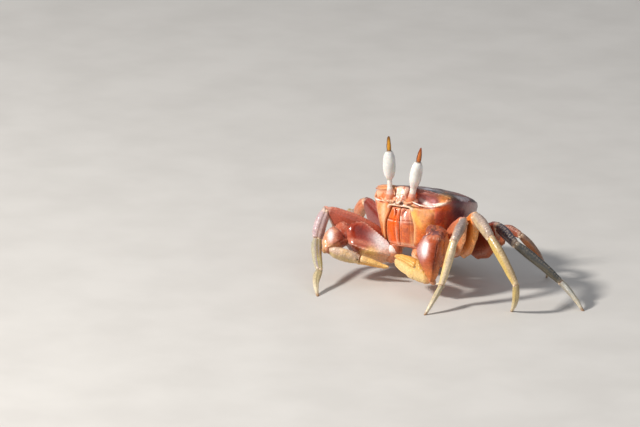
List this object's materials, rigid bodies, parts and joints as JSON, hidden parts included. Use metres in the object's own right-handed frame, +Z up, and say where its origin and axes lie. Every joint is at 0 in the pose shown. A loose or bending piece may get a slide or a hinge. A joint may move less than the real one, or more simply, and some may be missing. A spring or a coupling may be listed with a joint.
{
  "type": "ghost crab",
  "caption": "Life-size ghost crab standing on its feet, deep box-shaped shell, tall oval eyes on stalks with horns, unequal claws folded before the mouth, broad flat legs.",
  "frame": {"origin": "middle of the bounding box, on the floor the crab stands on", "axes": "+Z up; the crab faces -Y, so its head is towards -Y; its left side is towards +X"},
  "size_m": [0.1616, 0.1202, 0.058],
  "materials": {
    "carapace_shell": "glossy red-brown crab shell, purple-grey on the roof",
    "underside_shell": "satin cream to orange crab shell",
    "mouth_plates": "satin orange and pink crab shell",
    "leg_shell": "finely granular orange, beige and purple-grey crab shell",
    "foot_shell": "satin pale beige claw-like feet",
    "claw_shell": "glossy red-brown granular crab shell",
    "finger_shell": "satin yellow-beige crab shell, orange at the fingers",
    "eye_surface": "smooth pale grey-white eye surface",
    "eye_horn": "glossy orange-brown horn"
  },
  "bodies": {
    "root": {"carapace": "carapace_shell", "thorax": "underside_shell", "abdomen": "underside_shell", "mxp3_L": "mouth_plates", "mxp3_R": "mouth_plates", "eyestalk_L": "eye_surface", "eye_L": "eye_surface", "stylet_L": "eye_horn", "antenna_L": "leg_shell", "eyestalk_R": "eye_surface", "eye_R": "eye_surface", "stylet_R": "eye_horn", "antenna_R": "leg_shell", "cheliped_L_arm": "claw_shell", "cheliped_L_wrist": "claw_shell", "cheliped_L_hand": "finger_shell", "cheliped_L_finger": "finger_shell", "cheliped_R_arm": "claw_shell", "cheliped_R_wrist": "claw_shell", "cheliped_R_hand": "finger_shell", "cheliped_R_finger": "finger_shell", "L1_merus": "leg_shell", "L1_carpus": "leg_shell", "L1_propodus": "leg_shell", "L1_dactyl": "foot_shell", "L2_merus": "leg_shell", "L2_carpus": "leg_shell", "L2_propodus": "leg_shell", "L2_dactyl": "foot_shell", "L3_merus": "leg_shell", "L3_carpus": "leg_shell", "L3_propodus": "leg_shell", "L3_dactyl": "foot_shell", "L4_merus": "leg_shell", "L4_carpus": "leg_shell", "L4_propodus": "leg_shell", "L4_dactyl": "foot_shell", "R1_merus": "leg_shell", "R1_carpus": "leg_shell", "R1_propodus": "leg_shell", "R1_dactyl": "foot_shell", "R2_merus": "leg_shell", "R2_carpus": "leg_shell", "R2_propodus": "leg_shell", "R2_dactyl": "foot_shell", "R3_merus": "leg_shell", "R3_carpus": "leg_shell", "R3_propodus": "leg_shell", "R3_dactyl": "foot_shell", "R4_merus": "leg_shell", "R4_carpus": "leg_shell", "R4_propodus": "leg_shell", "R4_dactyl": "foot_shell"}
  },
  "joints": []
}
